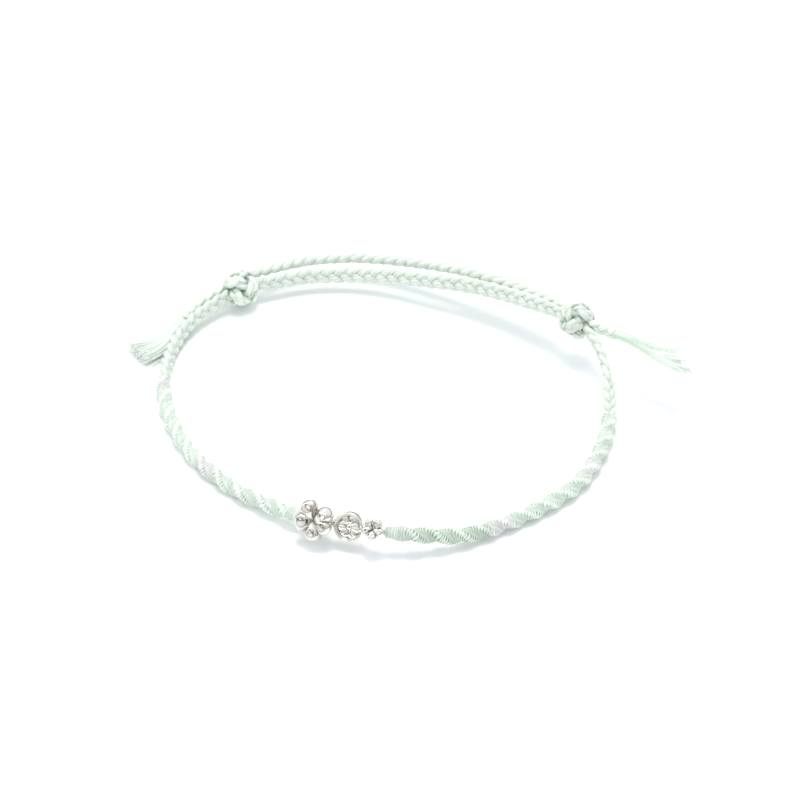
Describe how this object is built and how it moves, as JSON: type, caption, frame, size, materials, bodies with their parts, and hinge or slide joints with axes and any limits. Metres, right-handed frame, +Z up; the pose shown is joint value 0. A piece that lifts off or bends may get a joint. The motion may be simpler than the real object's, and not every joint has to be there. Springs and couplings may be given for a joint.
{
  "type": "wish bracelet",
  "caption": "Adjustable knotted silk cord bracelet with silver flower, medallion and star beads in front, a braided closure with sliding knots, and tassels.",
  "frame": {"origin": "on the surface that the bracelet lies on, under the middle of its outline", "axes": "+X to the right along the longest side, with the beads at -Y in front; +Z up"},
  "size_m": [0.0747, 0.0633, 0.0087],
  "materials": {
    "mint_silk": "shiny twisted silk thread, pale mint",
    "blush_silk": "shiny twisted silk thread, pale blush pink",
    "silver": "polished silver, darker in its recesses"
  },
  "bodies": {
    "root": {"flower_bead": "silver", "medallion_bead": "silver", "star_bead": "silver", "bead_cord": "mint_silk", "knotted_left_front": "mint_silk", "blush_band_left_front": "blush_silk", "knotted_left_back": "mint_silk", "blush_band_left_back": "blush_silk", "knotted_right_front": "mint_silk", "blush_band_right_front": "blush_silk", "knotted_right_back": "mint_silk", "blush_band_right_back": "blush_silk", "knotted_right_end": "mint_silk", "braid_left": "mint_silk", "braid_right": "mint_silk", "knot_left": "mint_silk", "knot_right": "mint_silk", "tail_braid_left": "mint_silk", "tail_braid_right": "mint_silk", "tassel_left": "mint_silk", "tassel_right": "mint_silk"}
  },
  "joints": []
}
